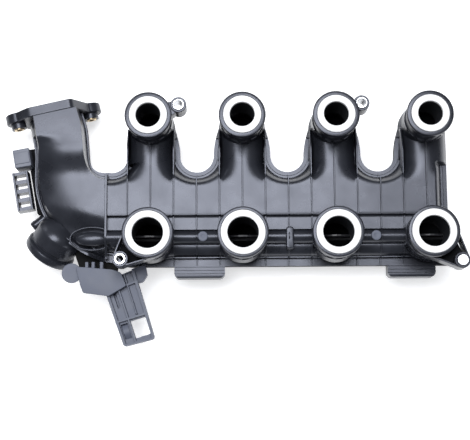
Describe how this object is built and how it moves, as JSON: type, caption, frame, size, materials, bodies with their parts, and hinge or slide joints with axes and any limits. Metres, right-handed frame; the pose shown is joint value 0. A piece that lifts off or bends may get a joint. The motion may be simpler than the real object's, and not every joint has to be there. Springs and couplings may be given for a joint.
{
  "type": "intake manifold",
  "caption": "Two-shell plastic intake manifold with paired swirl and filling ports, side inlet elbow, hose stub, harness bracket and linked swirl flaps.",
  "frame": {"origin": "bottom centre of the whole assembly, lying on its back with the ports upwards", "axes": "+X along the cylinder row away from the inlet elbow, +Y from the swirl ports to the filling ports, +Z out of the cylinder-head face"},
  "size_m": [0.4696, 0.2594, 0.1006],
  "materials": {
    "black_plastic": "moulded glass-filled plastic with a soft sheen",
    "matt_plastic": "fine matt moulded grain",
    "grey_plastic": "matt connector plastic",
    "white_silicone": "smooth moulded seal",
    "steel": "turned, bright zinc",
    "brass": "machined"
  },
  "bodies": {
    "housing": {"actuator_cover": "matt_plastic", "actuator_housing": "matt_plastic", "actuator_screw_1": "steel", "actuator_screw_2": "steel", "actuator_screw_3": "steel", "bracket_cover": "matt_plastic", "cable_rail_left": "black_plastic", "cable_rail_right": "black_plastic", "charge_air_stub": "black_plastic", "cover_clip": "matt_plastic", "front_shell": "black_plastic", "harness_bracket": "matt_plastic", "inlet_insert_left": "brass", "inlet_insert_right": "brass", "locating_dowel": "steel", "pressure_sensor": "grey_plastic", "rear_shell": "black_plastic", "seal_filling_1": "white_silicone", "seal_filling_2": "white_silicone", "seal_filling_3": "white_silicone", "seal_filling_4": "white_silicone", "seal_swirl_1": "white_silicone", "seal_swirl_2": "white_silicone", "seal_swirl_3": "white_silicone", "seal_swirl_4": "white_silicone", "sensor_guard": "black_plastic", "shaft_bush_1": "brass", "shaft_bush_2": "brass", "shaft_bush_3": "brass", "shaft_bush_4": "brass", "shaft_bush_5": "brass", "shaft_clip": "black_plastic", "sleeve_lower_left": "steel", "sleeve_upper_left": "steel", "sleeve_upper_right": "steel", "tunnel_plug_left": "matt_plastic", "tunnel_plug_right": "matt_plastic", "vacuum_nipple": "black_plastic"},
    "flap_shaft": {"swirl_shaft": "steel", "swirl_flap_1": "matt_plastic", "swirl_flap_2": "matt_plastic", "swirl_flap_3": "matt_plastic", "swirl_flap_4": "matt_plastic", "shaft_lever": "steel"},
    "link": {"link_rod": "steel"},
    "actuator_output": {"actuator_output_shaft": "steel", "actuator_lever": "steel"}
  },
  "joints": [
    {"name": "swirl_turn", "type": "hinge", "parent": "housing", "child": "flap_shaft", "pos_m": [0.22357, -0.02055, 0.0585], "axis": [1, 0, 0], "range_deg": [0, 85]},
    {"name": "link_turn", "type": "hinge", "parent": "flap_shaft", "child": "link", "pos_m": [0.22357, -0.03443, 0.06033], "axis": [1, 0, 0], "range_deg": [-85, 0]},
    {"name": "actuator_turn", "type": "hinge", "parent": "housing", "child": "actuator_output", "pos_m": [0.22357, 0.00745, 0.02], "axis": [1, 0, 0], "range_deg": [0, 85]}
  ],
  "couplings": [
    {"joint": "link_turn", "follows": "swirl_turn", "ratio": -1},
    {"joint": "actuator_turn", "follows": "swirl_turn", "ratio": 1}
  ]
}
